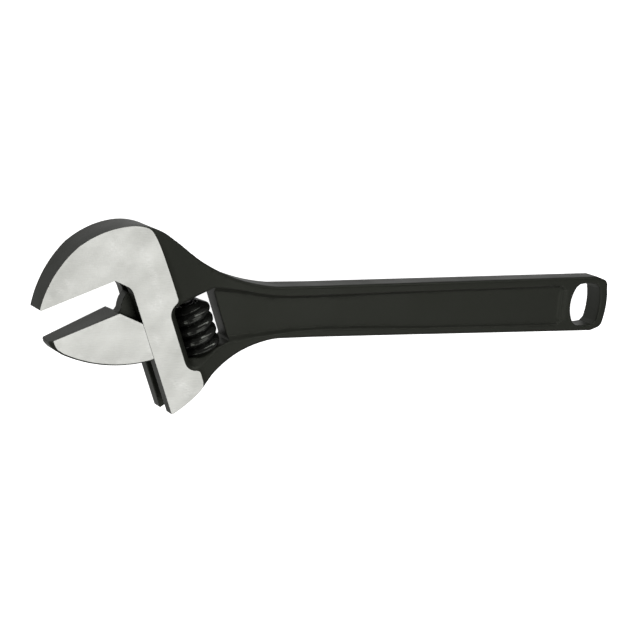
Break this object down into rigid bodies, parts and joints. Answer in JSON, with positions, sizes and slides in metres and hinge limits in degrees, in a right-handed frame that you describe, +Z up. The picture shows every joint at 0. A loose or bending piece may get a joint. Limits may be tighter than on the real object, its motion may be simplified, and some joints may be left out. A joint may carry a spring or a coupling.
{
  "type": "adjustable wrench",
  "caption": "Adjustable wrench with an I-section handle, a fixed jaw, and a sliding jaw moved by a threaded knurl.",
  "frame": {"origin": "centre of the bounding box in X and Y, on the surface that the wrench lies on", "axes": "+X along the handle, from the jaws to the hanging hole; +Z up from the surface that the wrench lies on; the fixed jaw is on the +Y side"},
  "size_m": [0.3017, 0.0816, 0.02],
  "materials": {
    "black_forging": "satin black oxide, with ground steel faces on the head",
    "ground_jaw": "ground steel faces, satin black oxide elsewhere",
    "black_knurl": "glossy black oxide",
    "pin_steel": "satin black oxide",
    "spring_steel": "drawn spring wire"
  },
  "bodies": {
    "frame": {"body": "black_forging", "knurl_pin": "pin_steel", "knurl_spring": "spring_steel"},
    "jaw": {"movable_jaw": "ground_jaw"},
    "knurl": {"knurl": "black_knurl"}
  },
  "joints": [
    {"name": "knurl_spin", "type": "hinge", "parent": "frame", "child": "knurl", "pos_m": [-0.08002, -0.00003, 0.01], "axis": [0.3827, -0.9239, 0], "range_deg": [-1385, 966]},
    {"name": "jaw_slide", "type": "slide", "parent": "frame", "child": "jaw", "axis": [0.3827, -0.9239, 0], "range_m": [-0.01395, 0.02]}
  ],
  "couplings": [
    {"joint": "knurl_spin", "follows": "jaw_slide", "rad_per_m": -1208.3}
  ]
}
